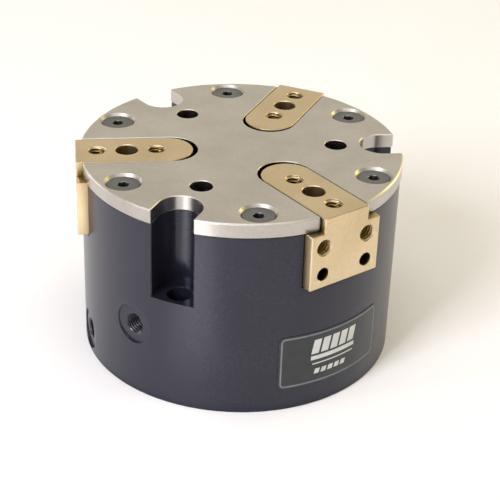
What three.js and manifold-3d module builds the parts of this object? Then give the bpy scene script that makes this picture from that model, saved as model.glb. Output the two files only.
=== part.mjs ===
// Three-jaw concentric parallel gripper, double acting, wedge-hook drive.
// Millimetres, +Z up. Origin: centre of the bottom mounting face.
// Jaw 1 points along -Y, jaws 2 and 3 follow at +30 and +150 degrees from +X.
import * as THREE from "three";
import { mergeVertices } from "three/addons/utils/BufferGeometryUtils.js";
import Module from "manifold-3d";

const wasm = await Module();
wasm.setup();

// ---------- driving dimensions ----------
const PLATE_R = 57.15; // cover plate radius, a 4.5 inch disc
const PLATE_T = 5.2; // cover plate thickness
const BODY_R = 56.7; // housing radius
const BODY_H = 69.3; // housing height
const TOP = BODY_H + PLATE_T; // overall height, 74.5

const JAW_AZ = [-90, 30, 150]; // jaw directions, degrees
const NOTCH_AZ = [-30, 90, 210]; // mounting notches, between the jaws
const SCREW_AZ = [-60, 0, 60, 120, 180, 240]; // cover screws

const RIB_HALF = 9.3; // jaw rib that shows in the cover slot
const SLOT_HALF = 9.6; // cover slot half width
const RIB_IN = 17.3; // inner end of the rib, jaws closed
const SLOT_IN = 15.6; // inner end of the cover slot
const JAW_OUT = 58.6; // outer face of the jaw flange, jaws closed
const BASE_HALF = 14.5; // jaw base and flange half width
const BASE_Z0 = 58.9; // underside of the jaw base
const BASE_Z1 = 69.1; // top of the jaw base, under the cover
const FLANGE_T = 4.3; // flange thickness
const FLANGE_Z0 = 48.8; // lower edge of the flange
const CHANNEL_HALF = 14.7; // guide channel half width
const CHANNEL_Z = 58.6; // guide channel floor
const POCKET_R = 53.8; // flat behind the flange
const POCKET_Z = 48.4; // lower end of that flat
const JAW_STROKE = 6.4; // travel of each jaw, outwards from closed

const TAP_IN = 30.23; // finger screw holes on the rib
const TAP_OUT = 51.1;
const LOCATE_R = 40.67; // locating hole between them
const TAP_HOLE = 2.65; // tapped hole radius, M6
const LOCATE_HOLE = 3.97; // locating hole radius, 5/16 inch
const FACE_Y = 9.15; // flange hole half spacing
const FACE_TAP_Z = 63.9; // tapped holes in the flange
const FACE_PIN_Z = 53.9; // pin holes in the flange
const FACE_PIN = 2.4; // pin hole radius

const NOTCH_HALF = 7.7; // U notch half width
const NOTCH_R = 50.3; // centre of the notch's round end
const NOTCH_Z = 41.1; // notch floor
const MOUNT_HOLE = 4.5; // clearance for an M8 screw

const SCREW_R = 49.5; // cover screw circle radius
const CSK_R = 6.6; // countersink mouth radius
const CSK_SLOPE = Math.tan((41 * Math.PI) / 180); // 82 degree countersink
const ACC_R = 33.83; // accessory holes in the cover
const ACC_HOLE = 3.95;

const BORE_R = 38.1; // cylinder bore, 3 inch
const BORE_Z0 = 8.0; // top of the end cap
const BORE_Z1 = 31.7; // underside of the partition
const PART_Z1 = 41.3; // top of the partition
const CAVITY_R = 27.0; // wedge cavity
const ROD_R = 12.5; // piston rod radius
const PISTON_R = 37.8;
const PISTON_Z0 = 8.3; // piston at its lower end, jaws closed
const PISTON_Z1 = 20.3;

const WEDGE_ANGLE = 30; // hook incline from the rod axis, degrees
const WEDGE_R = 26.0; // wedge head outer radius
const WEDGE_Z0 = 42.0;
const WEDGE_Z1 = 57.8;
const WEDGE_FACE = 15.0; // face distance from the axis at the wedge's top
const RUN_GAP = 0.1; // working clearance between sliding faces

const PORT_AZ = [-166, 162]; // close port and open port
const PORT_Z = [27.1, 8.2];
const PORT_HOLE = 3.4; // straight thread air port, drilled radius
const PORT_FACE = 7.4; // spot face radius
const PORT_SEAT = 55.4; // spot face distance from the axis
const PORT_END = 46.5; // bottom of the port thread

const LABEL_HALF = 21.4; // nameplate half width
const LABEL_Z0 = 8.7;
const LABEL_Z1 = 29.8;

const rad = (d) => (d * Math.PI) / 180;

// ---------- solids ----------
function solid(geometry) {
  let g = geometry.clone();
  g.deleteAttribute("normal");
  g.deleteAttribute("uv");
  g = mergeVertices(g, 1e-4);
  return new wasm.Manifold(
    new wasm.Mesh({
      numProp: 3,
      vertProperties: Float32Array.from(g.attributes.position.array),
      triVerts: Uint32Array.from(g.index.array),
    }),
  );
}
function geometryOf(m) {
  const out = m.getMesh();
  const n = out.numProp;
  const v = new Float32Array((out.vertProperties.length / n) * 3);
  for (let i = 0; i < v.length / 3; i++)
    for (let k = 0; k < 3; k++) v[3 * i + k] = out.vertProperties[n * i + k];
  const g = new THREE.BufferGeometry();
  g.setAttribute("position", new THREE.BufferAttribute(v, 3));
  g.setIndex(new THREE.BufferAttribute(Uint32Array.from(out.triVerts), 1));
  g.computeVertexNormals();
  return g;
}
// A turned solid from [radius, z] points, first and last on the axis or closed.
function turned(points, segments = 64) {
  const g = new THREE.LatheGeometry(
    points.map(([r, z]) => new THREE.Vector2(r, z)),
    segments,
  );
  g.rotateX(Math.PI / 2);
  let m = solid(g);
  if (m.volume() < 0) {
    const idx = g.index.array;
    for (let i = 0; i < idx.length; i += 3)
      [idx[i + 1], idx[i + 2]] = [idx[i + 2], idx[i + 1]];
    m = solid(g);
  }
  return m;
}
const rod = (r, z0, z1, segments = 24) =>
  turned([[0, z0], [r, z0], [r, z1], [0, z1]], segments);
const ring = (r0, r1, z0, z1, segments = 64) =>
  turned([[r0, z0], [r1, z0], [r1, z1], [r0, z1], [r0, z0]], segments);
function box(x0, x1, y0, y1, z0, z1) {
  const g = new THREE.BoxGeometry(x1 - x0, y1 - y0, z1 - z0);
  g.translate((x0 + x1) / 2, (y0 + y1) / 2, (z0 + z1) / 2);
  return solid(g);
}
// A closed outline in x, y raised from z0 to z1.
function raised(outline, z0, z1) {
  const shape = new THREE.Shape(outline.map(([x, y]) => new THREE.Vector2(x, y)));
  const g = new THREE.ExtrudeGeometry(shape, { depth: z1 - z0, bevelEnabled: false });
  g.translate(0, 0, z0);
  return solid(g);
}
function moved(m, matrix) {
  const g = geometryOf(m);
  g.applyMatrix4(matrix);
  return solid(g);
}
const at = (m, x, y, z) => moved(m, new THREE.Matrix4().makeTranslation(x, y, z));
const turn = (m, deg) => moved(m, new THREE.Matrix4().makeRotationZ(rad(deg)));
// A hole along +X (outwards) whose axis is at y, z, from x0 to x1.
function crossHole(r, x0, x1, y, z, segments = 16) {
  const g = new THREE.CylinderGeometry(r, r, x1 - x0, segments);
  g.rotateZ(Math.PI / 2);
  g.translate((x0 + x1) / 2, y, z);
  return solid(g);
}
const polar = (r, deg) => [r * Math.cos(rad(deg)), r * Math.sin(rad(deg))];
const joinAll = (list) => list.reduce((a, b) => a.add(b));
const cutAll = (m, list) => list.reduce((a, b) => a.subtract(b), m);

// Outline of a radial slot with a round inner end, open outwards.
function slotOutline(half, inner, outer, steps = 16) {
  const cx = inner + half;
  const pts = [[outer, -half], [outer, half]];
  for (let i = 0; i <= steps; i++) {
    const a = Math.PI / 2 + (Math.PI * i) / steps;
    pts.push([cx + half * Math.cos(a), half * Math.sin(a)]);
  }
  return pts;
}

// The hook incline: n points out of the wedge face, d runs up along it.
const ct = Math.cos(rad(WEDGE_ANGLE));
const st = Math.sin(rad(WEDGE_ANGLE));
const incline = new THREE.Matrix4()
  .makeBasis(
    new THREE.Vector3(ct, 0, st),
    new THREE.Vector3(0, 1, 0),
    new THREE.Vector3(-st, 0, ct),
  )
  .setPosition(WEDGE_FACE, 0, WEDGE_Z1);
// A T section standing inwards from the face: neck, then head.
function tee(neckHalf, headHalf, face, neckEnd, headEnd) {
  return moved(
    raised(
      [
        [face, -neckHalf], [face, neckHalf], [neckEnd, neckHalf], [neckEnd, headHalf],
        [headEnd, headHalf], [headEnd, -headHalf], [neckEnd, -headHalf], [neckEnd, -neckHalf],
      ].reverse(),
      -60,
      60,
    ),
    incline,
  );
}

// ---------- housing ----------
function makeHousing() {
  let m = turned(
    [[0, 0], [BODY_R - 0.35, 0], [BODY_R, 0.35], [BODY_R, BODY_H - 0.4], [BODY_R - 0.4, BODY_H], [0, BODY_H]],
    72,
  );
  const cuts = [
    rod(BORE_R, -1, BORE_Z1, 36),
    rod(40.0, -1, BORE_Z0, 36), // end cap seat
    ring(39.0, 41.6, 1.2, 2.7, 36), // retaining ring groove
    rod(ROD_R + 0.3, BORE_Z1 - 1, PART_Z1 + 1, 36),
    ring(12.0, 16.0, 33.4, 37.0, 36), // rod seal groove
    rod(14.4, 37.5, PART_Z1 + 1, 36), // bushing seat
    rod(CAVITY_R, PART_Z1, BODY_H + 1, 36),
  ];
  for (const az of JAW_AZ) {
    cuts.push(turn(box(0, 70, -CHANNEL_HALF, CHANNEL_HALF, CHANNEL_Z, BODY_H + 1), az));
    cuts.push(turn(box(POCKET_R, 70, -CHANNEL_HALF, CHANNEL_HALF, POCKET_Z, BODY_H + 1), az));
    cuts.push(turn(box(0, 34, -8.6, 8.6, 45.4, CHANNEL_Z + 0.5), az));
  }
  for (const az of NOTCH_AZ) {
    cuts.push(turn(raised(slotOutline(NOTCH_HALF, NOTCH_R - NOTCH_HALF, 70), NOTCH_Z, BODY_H + 1), az));
    const [x, y] = polar(NOTCH_R, az);
    cuts.push(at(rod(MOUNT_HOLE, -1, NOTCH_Z + 1, 20), x, y, 0));
    const [ax, ay] = polar(ACC_R, az);
    cuts.push(at(rod(ACC_HOLE, 57.4, BODY_H + 1, 20), ax, ay, 0));
  }
  for (const az of SCREW_AZ) {
    const [x, y] = polar(SCREW_R, az);
    cuts.push(at(rod(3.2, 56.4, BODY_H + 1, 16), x, y, 0));
  }
  for (const az of [0, 180]) {
    const [x, y] = polar(40, az);
    cuts.push(at(rod(2.6, 61.6, BODY_H + 1, 16), x, y, 0)); // cover dowels
    const [bx, by] = polar(NOTCH_R, az);
    cuts.push(at(rod(3.0, -1, 8.0, 16), bx, by, 0)); // base dowel holes
  }
  PORT_AZ.forEach((az, i) => {
    const z = PORT_Z[i];
    cuts.push(turn(crossHole(PORT_FACE, PORT_SEAT, 70, 0, z, 32), az));
    cuts.push(turn(crossHole(PORT_HOLE, PORT_END, 70, 0, z, 24), az));
    // slanted air passage from the port's end to the chamber's end
    const zEnd = i === 0 ? BORE_Z1 - 1.9 : BORE_Z0 + 2.4;
    const a = new THREE.Vector3(PORT_END + 1.5, 0, z + 0.8);
    const b = new THREE.Vector3(BORE_R - 1.5, 0, zEnd);
    const dir = b.clone().sub(a);
    const g = new THREE.CylinderGeometry(1.5, 1.5, dir.length(), 12);
    g.applyQuaternion(new THREE.Quaternion().setFromUnitVectors(new THREE.Vector3(0, 1, 0), dir.clone().normalize()));
    g.translate((a.x + b.x) / 2, 0, (a.z + b.z) / 2);
    cuts.push(turn(solid(g), az));
  });
  return cutAll(m, cuts);
}

// ---------- cover plate ----------
function makeCover() {
  let m = turned(
    [[0, BODY_H], [PLATE_R - 0.2, BODY_H], [PLATE_R, BODY_H + 0.2], [PLATE_R, TOP - 0.5], [PLATE_R - 0.5, TOP], [0, TOP]],
    72,
  );
  const cuts = [];
  for (const az of JAW_AZ) cuts.push(turn(raised(slotOutline(SLOT_HALF, SLOT_IN, 70, 20), BODY_H - 1, TOP + 1), az));
  for (const az of NOTCH_AZ) {
    cuts.push(turn(raised(slotOutline(NOTCH_HALF, NOTCH_R - NOTCH_HALF, 70), BODY_H - 1, TOP + 1), az));
    const [x, y] = polar(ACC_R, az);
    cuts.push(at(rod(ACC_HOLE, BODY_H - 1, TOP + 1, 20), x, y, 0));
  }
  const depth = (CSK_R - 3.3) / CSK_SLOPE;
  const sink = turned(
    [[0, BODY_H - 1], [3.3, BODY_H - 1], [3.3, TOP - depth], [CSK_R, TOP], [CSK_R + CSK_SLOPE, TOP + 1], [0, TOP + 1]],
    24,
  );
  for (const az of SCREW_AZ) cuts.push(at(sink, ...polar(SCREW_R, az), 0));
  for (const az of [0, 180]) cuts.push(at(rod(2.6, BODY_H - 1, 72.6, 16), ...polar(40, az), 0));
  return cutAll(m, cuts);
}

// ---------- jaw, in its own frame: +X outwards ----------
function makeJaw() {
  const parts = [
    raised(slotOutline(RIB_HALF, RIB_IN, JAW_OUT, 20), BASE_Z1 - 0.4, TOP),
    box(24, JAW_OUT, -BASE_HALF, BASE_HALF, BASE_Z0, BASE_Z1),
    box(JAW_OUT - FLANGE_T, JAW_OUT, -BASE_HALF, BASE_HALF, FLANGE_Z0, BASE_Z1),
  ];
  // hook block, cut to the incline
  const far = moved(box(-80, RUN_GAP, -40, 40, -80, 80), incline);
  parts.push(box(0, 27, -8.2, 8.2, 46, BASE_Z1).subtract(far));
  // hook tongue
  parts.push(tee(3.7, 6.3, 1.0, -2.7, -6.3).intersect(box(0, 40, -20, 20, 46, 62.5)));
  let m = joinAll(parts);
  const cuts = [
    at(rod(TAP_HOLE, TOP - 13, TOP + 1, 16), TAP_IN, 0, 0),
    at(rod(TAP_HOLE, TOP - 13, TOP + 1, 16), TAP_OUT, 0, 0),
    at(rod(LOCATE_HOLE, TOP - 9, TOP + 1, 20), LOCATE_R, 0, 0),
  ];
  for (const s of [-1, 1]) {
    cuts.push(crossHole(TAP_HOLE, JAW_OUT - 12, JAW_OUT + 1, s * FACE_Y, FACE_TAP_Z));
    cuts.push(crossHole(FACE_PIN, JAW_OUT - FLANGE_T - 1, JAW_OUT + 1, s * FACE_Y, FACE_PIN_Z));
  }
  return cutAll(m, cuts);
}

// ---------- piston and wedge rod ----------
function makePiston() {
  const z0 = PISTON_Z0, z1 = PISTON_Z1, r = PISTON_R;
  return turned(
    [
      [0, z0 + 8.3], [6.8, z0 + 8.3], [6.8, z0], [r - 1.6, z0], [r - 1.6, z0 + 1.2], [r, z0 + 1.2],
      [r, z0 + 2.2], [r - 3.0, z0 + 2.2], [r - 3.0, z0 + 5.4], [r, z0 + 5.4], // seal groove
      [r, z0 + 6.6], [r - 1.9, z0 + 6.6], [r - 1.9, z0 + 9.6], [r, z0 + 9.6], // guide ring groove
      [r, z1 - 1.2], [r - 1.6, z1 - 1.2], [r - 1.6, z1], [12.2, z1], [12.2, z1 - 1.5], [10.0, z1 - 1.5],
      [10.0, z1], [9.1, z1], [9.1, z1 - 3.0], [0, z1 - 3.0],
    ],
    36,
  ).subtract(rod(4.3, z0 + 4, z1, 20));
}
function makeWedge() {
  let head = rod(WEDGE_R, WEDGE_Z0, WEDGE_Z1, 36);
  const outside = moved(box(0, 80, -60, 60, -80, 80), incline);
  for (const az of JAW_AZ) head = head.subtract(turn(outside, az));
  for (const az of JAW_AZ) head = head.subtract(turn(tee(3.8, 6.4, 1.0, -2.6, -6.4), az));
  const z1 = PISTON_Z1;
  const stem = turned(
    [[0, z1 - 2.7], [8.9, z1 - 2.7], [8.9, z1 + 0.1], [ROD_R, z1 + 0.1], [ROD_R, WEDGE_Z0 + 1], [0, WEDGE_Z0 + 1]],
    36,
  );
  return head.add(stem).subtract(rod(3.9, z1 - 4, z1 + 20, 20));
}
function makePistonScrew() {
  const z = PISTON_Z0 + 0.3;
  const hex = [];
  for (let i = 0; i < 6; i++) hex.push(polar(3.46, 60 * i));
  return turned([[0, z], [6.2, z], [6.5, z + 0.4], [6.5, z + 7.9], [3.8, z + 7.9], [3.8, z + 26], [0, z + 26]], 24).subtract(
    raised(hex, z - 1, z + 4),
  );
}
function makeCoverScrew() {
  const zt = TOP - 0.75;
  const hex = [];
  for (let i = 0; i < 6; i++) hex.push(polar(2.31, 60 * i + 15));
  return turned(
    [[0, 58.4], [2.5, 58.4], [2.95, 58.9], [2.95, zt - (5.8 - 2.95) / CSK_SLOPE], [5.8, zt], [0, zt]],
    24,
  ).subtract(raised(hex, zt - 2.3, zt + 1));
}

// ---------- rings, seals and small parts ----------
function oRing(radius, wire, z, segments = 36) {
  const pts = [];
  for (let i = 0; i <= 8; i++) {
    const a = (2 * Math.PI * (i % 8)) / 8;
    pts.push([radius + wire * Math.cos(a), z + wire * Math.sin(a)]);
  }
  return turned(pts, segments);
}
function makeEndCap() {
  let m = turned(
    [
      [0, 0], [35.3, 0], [35.5, 0.2], [35.5, 2.8], [39.7, 2.8], [39.7, 4.2], [37.8, 4.2], [37.8, 6.6],
      [39.7, 6.6], [39.7, BORE_Z0 - 0.1], [0, BORE_Z0 - 0.1],
    ],
    36,
  );
  for (const az of [0, 180]) m = m.subtract(at(rod(2.1, -1, 5, 16), ...polar(24, az), 0));
  return m;
}
function makeRetainingRing() {
  // open ring with two lugs, gap facing +X
  const outline = [];
  const gap = 8, steps = 40;
  for (let i = 0; i <= steps; i++) outline.push(polar(41.3, gap + ((360 - 2 * gap) * i) / steps));
  outline.push(polar(36.1, 360 - gap), polar(36.1, 360 - gap - 7));
  for (let i = 4; i <= steps - 4; i++) outline.push(polar(37.6, 360 - gap - ((360 - 2 * gap) * i) / steps));
  outline.push(polar(36.1, gap + 7), polar(36.1, gap));
  let m = raised(outline, 1.35, 2.55);
  for (const s of [-1, 1]) m = m.subtract(at(rod(1.2, 0, 4, 12), ...polar(38.0, s * (gap + 3.5)), 0));
  return m;
}
function makeNameplate() {
  const outline = [];
  const half = 23.5, steps = 14;
  for (let i = 0; i <= steps; i++) outline.push(polar(BODY_R + 0.32, -90 - half + (2 * half * i) / steps));
  for (let i = 0; i <= steps; i++) outline.push(polar(BODY_R + 0.08, -90 + half - (2 * half * i) / steps));
  // rounded corners, cut square to the front
  const w = LABEL_HALF, c = 2.0, face = [];
  for (const [sx, sz, a0] of [[1, 1, 0], [-1, 1, 90], [-1, -1, 180], [1, -1, 270]])
    for (let i = 0; i <= 3; i++) {
      const a = rad(a0 + 30 * i);
      face.push([sx * (w - c) + c * Math.cos(a), sz * ((LABEL_Z1 - LABEL_Z0) / 2 - c) + c * Math.sin(a)]);
    }
  const g = raised(face, 40, 60);
  const toFront = new THREE.Matrix4().makeBasis(
    new THREE.Vector3(1, 0, 0),
    new THREE.Vector3(0, 0, 1),
    new THREE.Vector3(0, -1, 0),
  );
  toFront.setPosition(0, 0, (LABEL_Z0 + LABEL_Z1) / 2);
  return raised(outline, LABEL_Z0 - 1, LABEL_Z1 + 1).intersect(moved(g, toFront));
}

// ---------- scene graph ----------
const black = new THREE.MeshStandardMaterial({ color: 0x2b2b30, roughness: 0.45, metalness: 0.6 });
const steel = new THREE.MeshStandardMaterial({ color: 0xb9b2a2, roughness: 0.38, metalness: 0.9 });
const bronze = new THREE.MeshStandardMaterial({ color: 0xc9a66b, roughness: 0.4, metalness: 0.9 });
const oxide = new THREE.MeshStandardMaterial({ color: 0x3a3b3f, roughness: 0.5, metalness: 0.8 });
const alloy = new THREE.MeshStandardMaterial({ color: 0xa9abad, roughness: 0.4, metalness: 0.9 });
const spring = new THREE.MeshStandardMaterial({ color: 0x55575a, roughness: 0.45, metalness: 0.9 });
const rubber = new THREE.MeshStandardMaterial({ color: 0x1c1c1d, roughness: 0.8, metalness: 0 });
const foil = new THREE.MeshStandardMaterial({ color: 0x2e3335, roughness: 0.4, metalness: 0.3 });

const gripper = new THREE.Group();
function put(parent, name, m, material) {
  const mesh = new THREE.Mesh(geometryOf(m), material);
  mesh.name = name;
  parent.add(mesh);
  return mesh;
}

const housing = new THREE.Group();
gripper.add(housing);
put(housing, "housing", makeHousing(), black);
put(housing, "cover_plate", makeCover(), steel);
const coverScrew = makeCoverScrew();
SCREW_AZ.forEach((az, i) => {
  const s = put(housing, `cover_screw_${i + 1}`, coverScrew, oxide);
  s.position.set(...polar(SCREW_R, az), 0);
});
[0, 180].forEach((az, i) => {
  const pin = put(housing, `cover_dowel_${i + 1}`, rod(2.45, 62.0, 72.2, 16), steel);
  pin.position.set(...polar(40, az), 0);
});
put(housing, "end_cap", makeEndCap(), alloy);
put(housing, "end_cap_o_ring", oRing(38.85, 0.95, 5.4), rubber);
put(housing, "retaining_ring", makeRetainingRing(), spring);
put(housing, "rod_bushing", ring(12.65, 14.2, 37.6, 41.2, 36), bronze);
put(
  housing,
  "rod_seal",
  turned([[12.7, 33.6], [13.5, 33.6], [14.2, 34.6], [15.0, 33.6], [15.8, 33.6], [15.8, 36.8], [12.9, 36.8], [12.7, 33.6]], 36),
  rubber,
);
put(housing, "nameplate", makeNameplate(), foil);

const drive = new THREE.Group();
gripper.add(drive);
put(drive, "piston", makePiston(), alloy);
put(
  drive,
  "piston_seal",
  ring(PISTON_R - 2.7, PISTON_R + 0.15, PISTON_Z0 + 2.4, PISTON_Z0 + 5.2, 36),
  rubber,
);
put(
  drive,
  "piston_guide_ring",
  ring(PISTON_R - 1.7, PISTON_R + 0.15, PISTON_Z0 + 6.8, PISTON_Z0 + 9.4, 36),
  bronze,
);
put(drive, "wedge_rod", makeWedge(), steel);
put(drive, "rod_o_ring", oRing(11.1, 0.65, PISTON_Z1 - 0.72, 24), rubber);
put(drive, "piston_screw", makePistonScrew(), oxide);

const jaw = makeJaw();
JAW_AZ.forEach((az, i) => {
  const g = new THREE.Group();
  g.rotation.z = rad(az);
  gripper.add(g);
  put(g, `jaw_${i + 1}`, jaw, bronze);
});

export default gripper;
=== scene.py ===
import math

import bmesh
import bpy
import numpy as np
from mathutils import Matrix, Vector


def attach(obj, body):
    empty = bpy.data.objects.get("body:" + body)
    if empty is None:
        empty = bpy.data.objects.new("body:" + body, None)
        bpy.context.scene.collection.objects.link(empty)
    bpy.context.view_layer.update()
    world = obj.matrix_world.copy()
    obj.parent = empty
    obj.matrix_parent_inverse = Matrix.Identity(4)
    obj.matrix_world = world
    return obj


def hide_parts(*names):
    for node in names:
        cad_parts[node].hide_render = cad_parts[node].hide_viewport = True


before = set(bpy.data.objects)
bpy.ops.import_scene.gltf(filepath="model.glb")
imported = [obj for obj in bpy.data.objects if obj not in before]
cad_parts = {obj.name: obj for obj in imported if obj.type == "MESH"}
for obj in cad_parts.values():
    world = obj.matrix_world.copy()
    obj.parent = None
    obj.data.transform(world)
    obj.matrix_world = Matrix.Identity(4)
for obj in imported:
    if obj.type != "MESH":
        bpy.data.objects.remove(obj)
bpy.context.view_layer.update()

# ------------------------------------------------------------------ sizes, mm
TOP = 74.5
PLATE_R, PLATE_T = 57.15, 5.2
BODY_R, BODY_H = 56.7, 69.3
JAW_AZ = [-90, 30, 150]
NOTCH_AZ = [-30, 90, 210]
SCREW_AZ = [-60, 0, 60, 120, 180, 240]
RIB_HALF, SLOT_HALF, RIB_IN, SLOT_IN, JAW_OUT = 9.3, 9.6, 17.3, 15.6, 58.6
BASE_HALF, BASE_Z0, BASE_Z1, FLANGE_T, FLANGE_Z0 = 14.5, 58.9, 69.1, 4.3, 48.8
CHANNEL_HALF, CHANNEL_Z, POCKET_R, POCKET_Z = 14.7, 58.6, 53.8, 48.4
TAP_IN, TAP_OUT, LOCATE_R, LOCATE_HOLE = 30.23, 51.1, 40.67, 3.97
FACE_Y, FACE_TAP_Z, FACE_PIN_Z, FACE_PIN = 9.15, 63.9, 53.9, 2.4
NOTCH_HALF, NOTCH_R, NOTCH_Z, MOUNT_HOLE = 7.7, 50.3, 41.1, 4.5
SCREW_R, CSK_R = 49.5, 6.6
CSK = math.tan(math.radians(41))
ACC_R, ACC_HOLE = 33.83, 3.95
BORE_R, BORE_Z0, BORE_Z1, PART_Z1, CAVITY_R = 38.1, 8.0, 31.7, 41.3, 27.0
ROD_R, PISTON_R, PISTON_Z0, PISTON_Z1 = 12.5, 37.8, 8.3, 20.3
WEDGE_ANGLE, WEDGE_R, WEDGE_Z0, WEDGE_Z1, WEDGE_FACE = 30, 26.0, 42.0, 57.8, 15.0
PORT_AZ, PORT_Z, PORT_FACE, PORT_SEAT, PORT_END = [-166, 162], [27.1, 8.2], 7.4, 55.9, 46.5
LABEL_HALF, LABEL_Z0, LABEL_Z1 = 21.4, 8.7, 29.8

SCENE = bpy.context.scene
COLL = SCENE.collection


# ------------------------------------------------------------ mesh building
def mesh_object(name, verts, faces):
    me = bpy.data.meshes.new(name)
    me.from_pydata([tuple(map(float, v)) for v in verts], [], [tuple(map(int, f)) for f in faces])
    bm = bmesh.new()
    bm.from_mesh(me)
    bmesh.ops.recalc_face_normals(bm, faces=bm.faces)
    if bm.calc_volume(signed=True) < 0:
        bmesh.ops.reverse_faces(bm, faces=bm.faces)
    bm.to_mesh(me)
    bm.free()
    ob = bpy.data.objects.new(name, me)
    COLL.objects.link(ob)
    return ob


def drop(ob):
    me = ob.data
    bpy.data.objects.remove(ob, do_unlink=True)
    if me and me.users == 0:
        bpy.data.meshes.remove(me)


def baked(ob):
    """Applies the object's modifiers to its mesh."""
    dg = bpy.context.evaluated_depsgraph_get()
    me = bpy.data.meshes.new_from_object(ob.evaluated_get(dg))
    old = ob.data
    ob.modifiers.clear()
    ob.data = me
    if old.users == 0:
        bpy.data.meshes.remove(old)
    return ob


def boolean(ob, tools, op="DIFFERENCE"):
    for t in tools:
        m = ob.modifiers.new("b", "BOOLEAN")
        m.operation, m.solver, m.object = op, "MANIFOLD", t
        baked(ob)
        drop(t)
    return ob


def cut(ob, *tools):
    return boolean(ob, tools)


def join(ob, *tools):
    return boolean(ob, tools, "UNION")


def soften(profile, r, k=3, closed=False):
    """Rounds a profile's corners to about r."""
    pts = [Vector(p) for p in profile]
    n = len(pts)
    out = []
    for i, p in enumerate(pts):
        if not closed and i in (0, n - 1):
            out.append(tuple(p))
            continue
        a, b = pts[i - 1], pts[(i + 1) % n]
        u, v = a - p, b - p
        if u.length < 1e-6 or v.length < 1e-6:
            out.append(tuple(p))
            continue
        ang = u.angle(v)
        if ang > math.radians(165):
            out.append(tuple(p))
            continue
        d = min(r / math.tan(ang / 2), u.length * 0.42, v.length * 0.42)
        s, e = p + u.normalized() * d, p + v.normalized() * d
        for j in range(k + 1):
            t = j / k
            q = s * (1 - t) ** 2 + p * (2 * t * (1 - t)) + e * t * t
            out.append(tuple(q))
    return out


def lathe(name, profile, n=160, r=0.0, k=3, closed=False):
    """A turned body from (radius, z) points; it starts and ends on the axis, or closes on itself."""
    if r:
        profile = soften(profile, r, k, closed)
    verts, rings = [], []
    for pr, pz in profile:
        if pr < 1e-7:
            rings.append([len(verts)])
            verts.append((0, 0, pz))
        else:
            rings.append(list(range(len(verts), len(verts) + n)))
            for i in range(n):
                a = 2 * math.pi * i / n
                verts.append((pr * math.cos(a), pr * math.sin(a), pz))
    faces = []
    pairs = list(zip(rings, rings[1:]))
    if closed:
        pairs.append((rings[-1], rings[0]))
    for a, b in pairs:
        if len(a) == 1 and len(b) == 1:
            continue
        for i in range(n):
            j = (i + 1) % n
            if len(a) == 1:
                faces.append((a[0], b[i], b[j]))
            elif len(b) == 1:
                faces.append((a[i], a[j], b[0]))
            else:
                faces.append((a[i], a[j], b[j], b[i]))
    return mesh_object(name, verts, faces)


def loft(name, levels):
    """A closed body through outlines of equal length, [(z, [(x, y), ...]), ...]."""
    verts, faces = [], []
    n = len(levels[0][1])
    for z, outline in levels:
        verts += [(x, y, z) for x, y in outline]
    for k in range(len(levels) - 1):
        for i in range(n):
            j = (i + 1) % n
            faces.append((k * n + i, k * n + j, (k + 1) * n + j, (k + 1) * n + i))
    faces.append(tuple(reversed(range(n))))
    faces.append(tuple((len(levels) - 1) * n + i for i in range(n)))
    return mesh_object(name, verts, faces)


def slot_outline(half, inner, outer, grow=0.0, steps=48, corner=0.0):
    cx = inner + half
    h = half + grow
    pts = []
    if corner:
        pts += [(outer - corner, -h), (outer - corner * 0.29, -h + corner * 0.29), (outer, -h + corner)]
        pts += [(outer, h - corner), (outer - corner * 0.29, h - corner * 0.29), (outer - corner, h)]
    else:
        pts += [(outer, -h), (outer, h)]
    for i in range(steps + 1):
        a = math.pi / 2 + math.pi * i / steps
        pts.append((cx + h * math.cos(a), h * math.sin(a)))
    return pts


def slot_tool(half, inner, z0, z1, flare=0.0, flare_z=None, low=None, outer=70):
    """Cutter for a radial slot; flare widens its mouth at flare_z, low widens it at the underside."""
    levels = [(z0, 0.0)]
    if low:
        levels = [(z0, low[1] + (low[0] - z0)), (low[0], low[1]), (low[0] + low[1], 0.0)]
    if flare:
        levels += [(flare_z - flare, 0.0), (flare_z, flare), (z1, flare + (z1 - flare_z))]
    else:
        levels += [(z1, 0.0)]
    return loft("tool", [(z, slot_outline(half, inner, outer, g)) for z, g in levels])


def hole_tool(r, z0, z1, mouth=None, chamfer=0.0, low=None, low_chamfer=0.0, n=64, point=False):
    """Cutter for a round hole along Z; mouth and low are the heights of its chamfered ends."""
    prof = []
    if low is not None:
        prof += [(0, z0), (r + low_chamfer + (low - z0), z0), (r, low + low_chamfer)]
    elif point:
        prof += [(0, z0 - r * 0.55), (r, z0)]
    else:
        prof += [(0, z0), (r, z0)]
    if mouth is not None:
        prof += [(r, mouth - chamfer), (r + chamfer + (z1 - mouth), z1), (0, z1)]
    else:
        prof += [(r, z1), (0, z1)]
    return lathe("tool", prof, n)


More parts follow.
